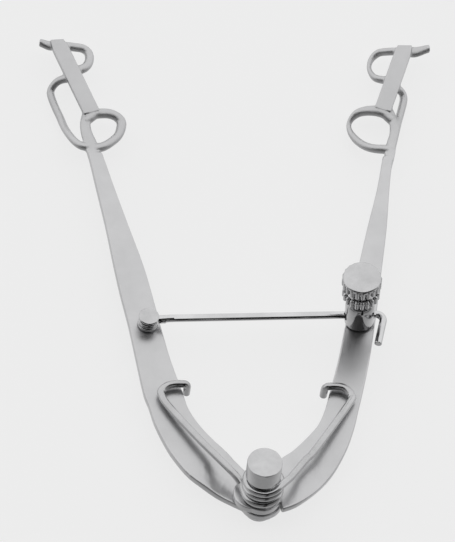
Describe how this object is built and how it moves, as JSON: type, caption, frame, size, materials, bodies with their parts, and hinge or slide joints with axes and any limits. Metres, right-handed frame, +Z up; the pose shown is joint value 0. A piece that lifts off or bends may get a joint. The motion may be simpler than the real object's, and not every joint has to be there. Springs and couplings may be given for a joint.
{
  "type": "eye speculum",
  "caption": "Self-retaining eye speculum: sprung curved arms with fenestrated blades, cross rod, swivel block and knurled clamp screw.",
  "frame": {"origin": "on the pivot's axis, at the flat underside of the pivot's nut", "axes": "+Y from the pivot towards the blades' tips, +Z up along the pivot towards its cap, +X to the side of the arm with the thumb screw"},
  "size_m": [0.052, 0.0749, 0.0134],
  "materials": {
    "left_arm": "satin stainless steel",
    "right_arm": "satin stainless steel",
    "pivot_post": "satin stainless steel, turned",
    "pivot_nut": "satin stainless steel, turned",
    "torsion_spring": "bright drawn stainless spring wire",
    "cross_rod": "bright drawn stainless rod",
    "rod_stud": "satin stainless steel, turned",
    "stud_nut": "satin stainless steel, turned",
    "swivel_block": "satin stainless steel, turned",
    "block_nut": "satin stainless steel, turned",
    "thumb_screw": "satin stainless steel, knurled"
  },
  "bodies": {
    "base": {"left_arm": "left_arm", "pivot_post": "pivot_post", "pivot_nut": "pivot_nut", "rod_stud": "rod_stud", "stud_nut": "stud_nut", "torsion_spring": "torsion_spring"},
    "right": {"right_arm": "right_arm"},
    "rod": {"cross_rod": "cross_rod"},
    "block": {"swivel_block": "swivel_block", "block_nut": "block_nut"},
    "screw": {"thumb_screw": "thumb_screw"}
  },
  "joints": [
    {"name": "arm_pivot", "type": "hinge", "parent": "base", "child": "right", "pos_m": [0, 0, 0.003], "axis": [0, 0, 1], "range_deg": [0, 26], "deforming": ["torsion_spring"]},
    {"name": "rod_swivel", "type": "hinge", "parent": "base", "child": "rod", "pos_m": [-0.0134, 0.02673, 0.0043], "axis": [0, 0, 1], "range_deg": [0, 16]},
    {"name": "block_swivel", "type": "hinge", "parent": "right", "child": "block", "pos_m": [0.01435, 0.0279, 0.00475], "axis": [-0.0698, 0, 0.9976], "range_deg": [-11.5, 0]},
    {"name": "screw_turn", "type": "hinge", "parent": "block", "child": "screw", "pos_m": [0.01435, 0.0279, 0.00475], "axis": [-0.0698, 0, 0.9976], "range_deg": [0, 270]}
  ],
  "couplings": [
    {"joint": "rod_swivel", "follows": "arm_pivot", "ratio": 0.595},
    {"joint": "block_swivel", "follows": "arm_pivot", "ratio": -0.405}
  ]
}
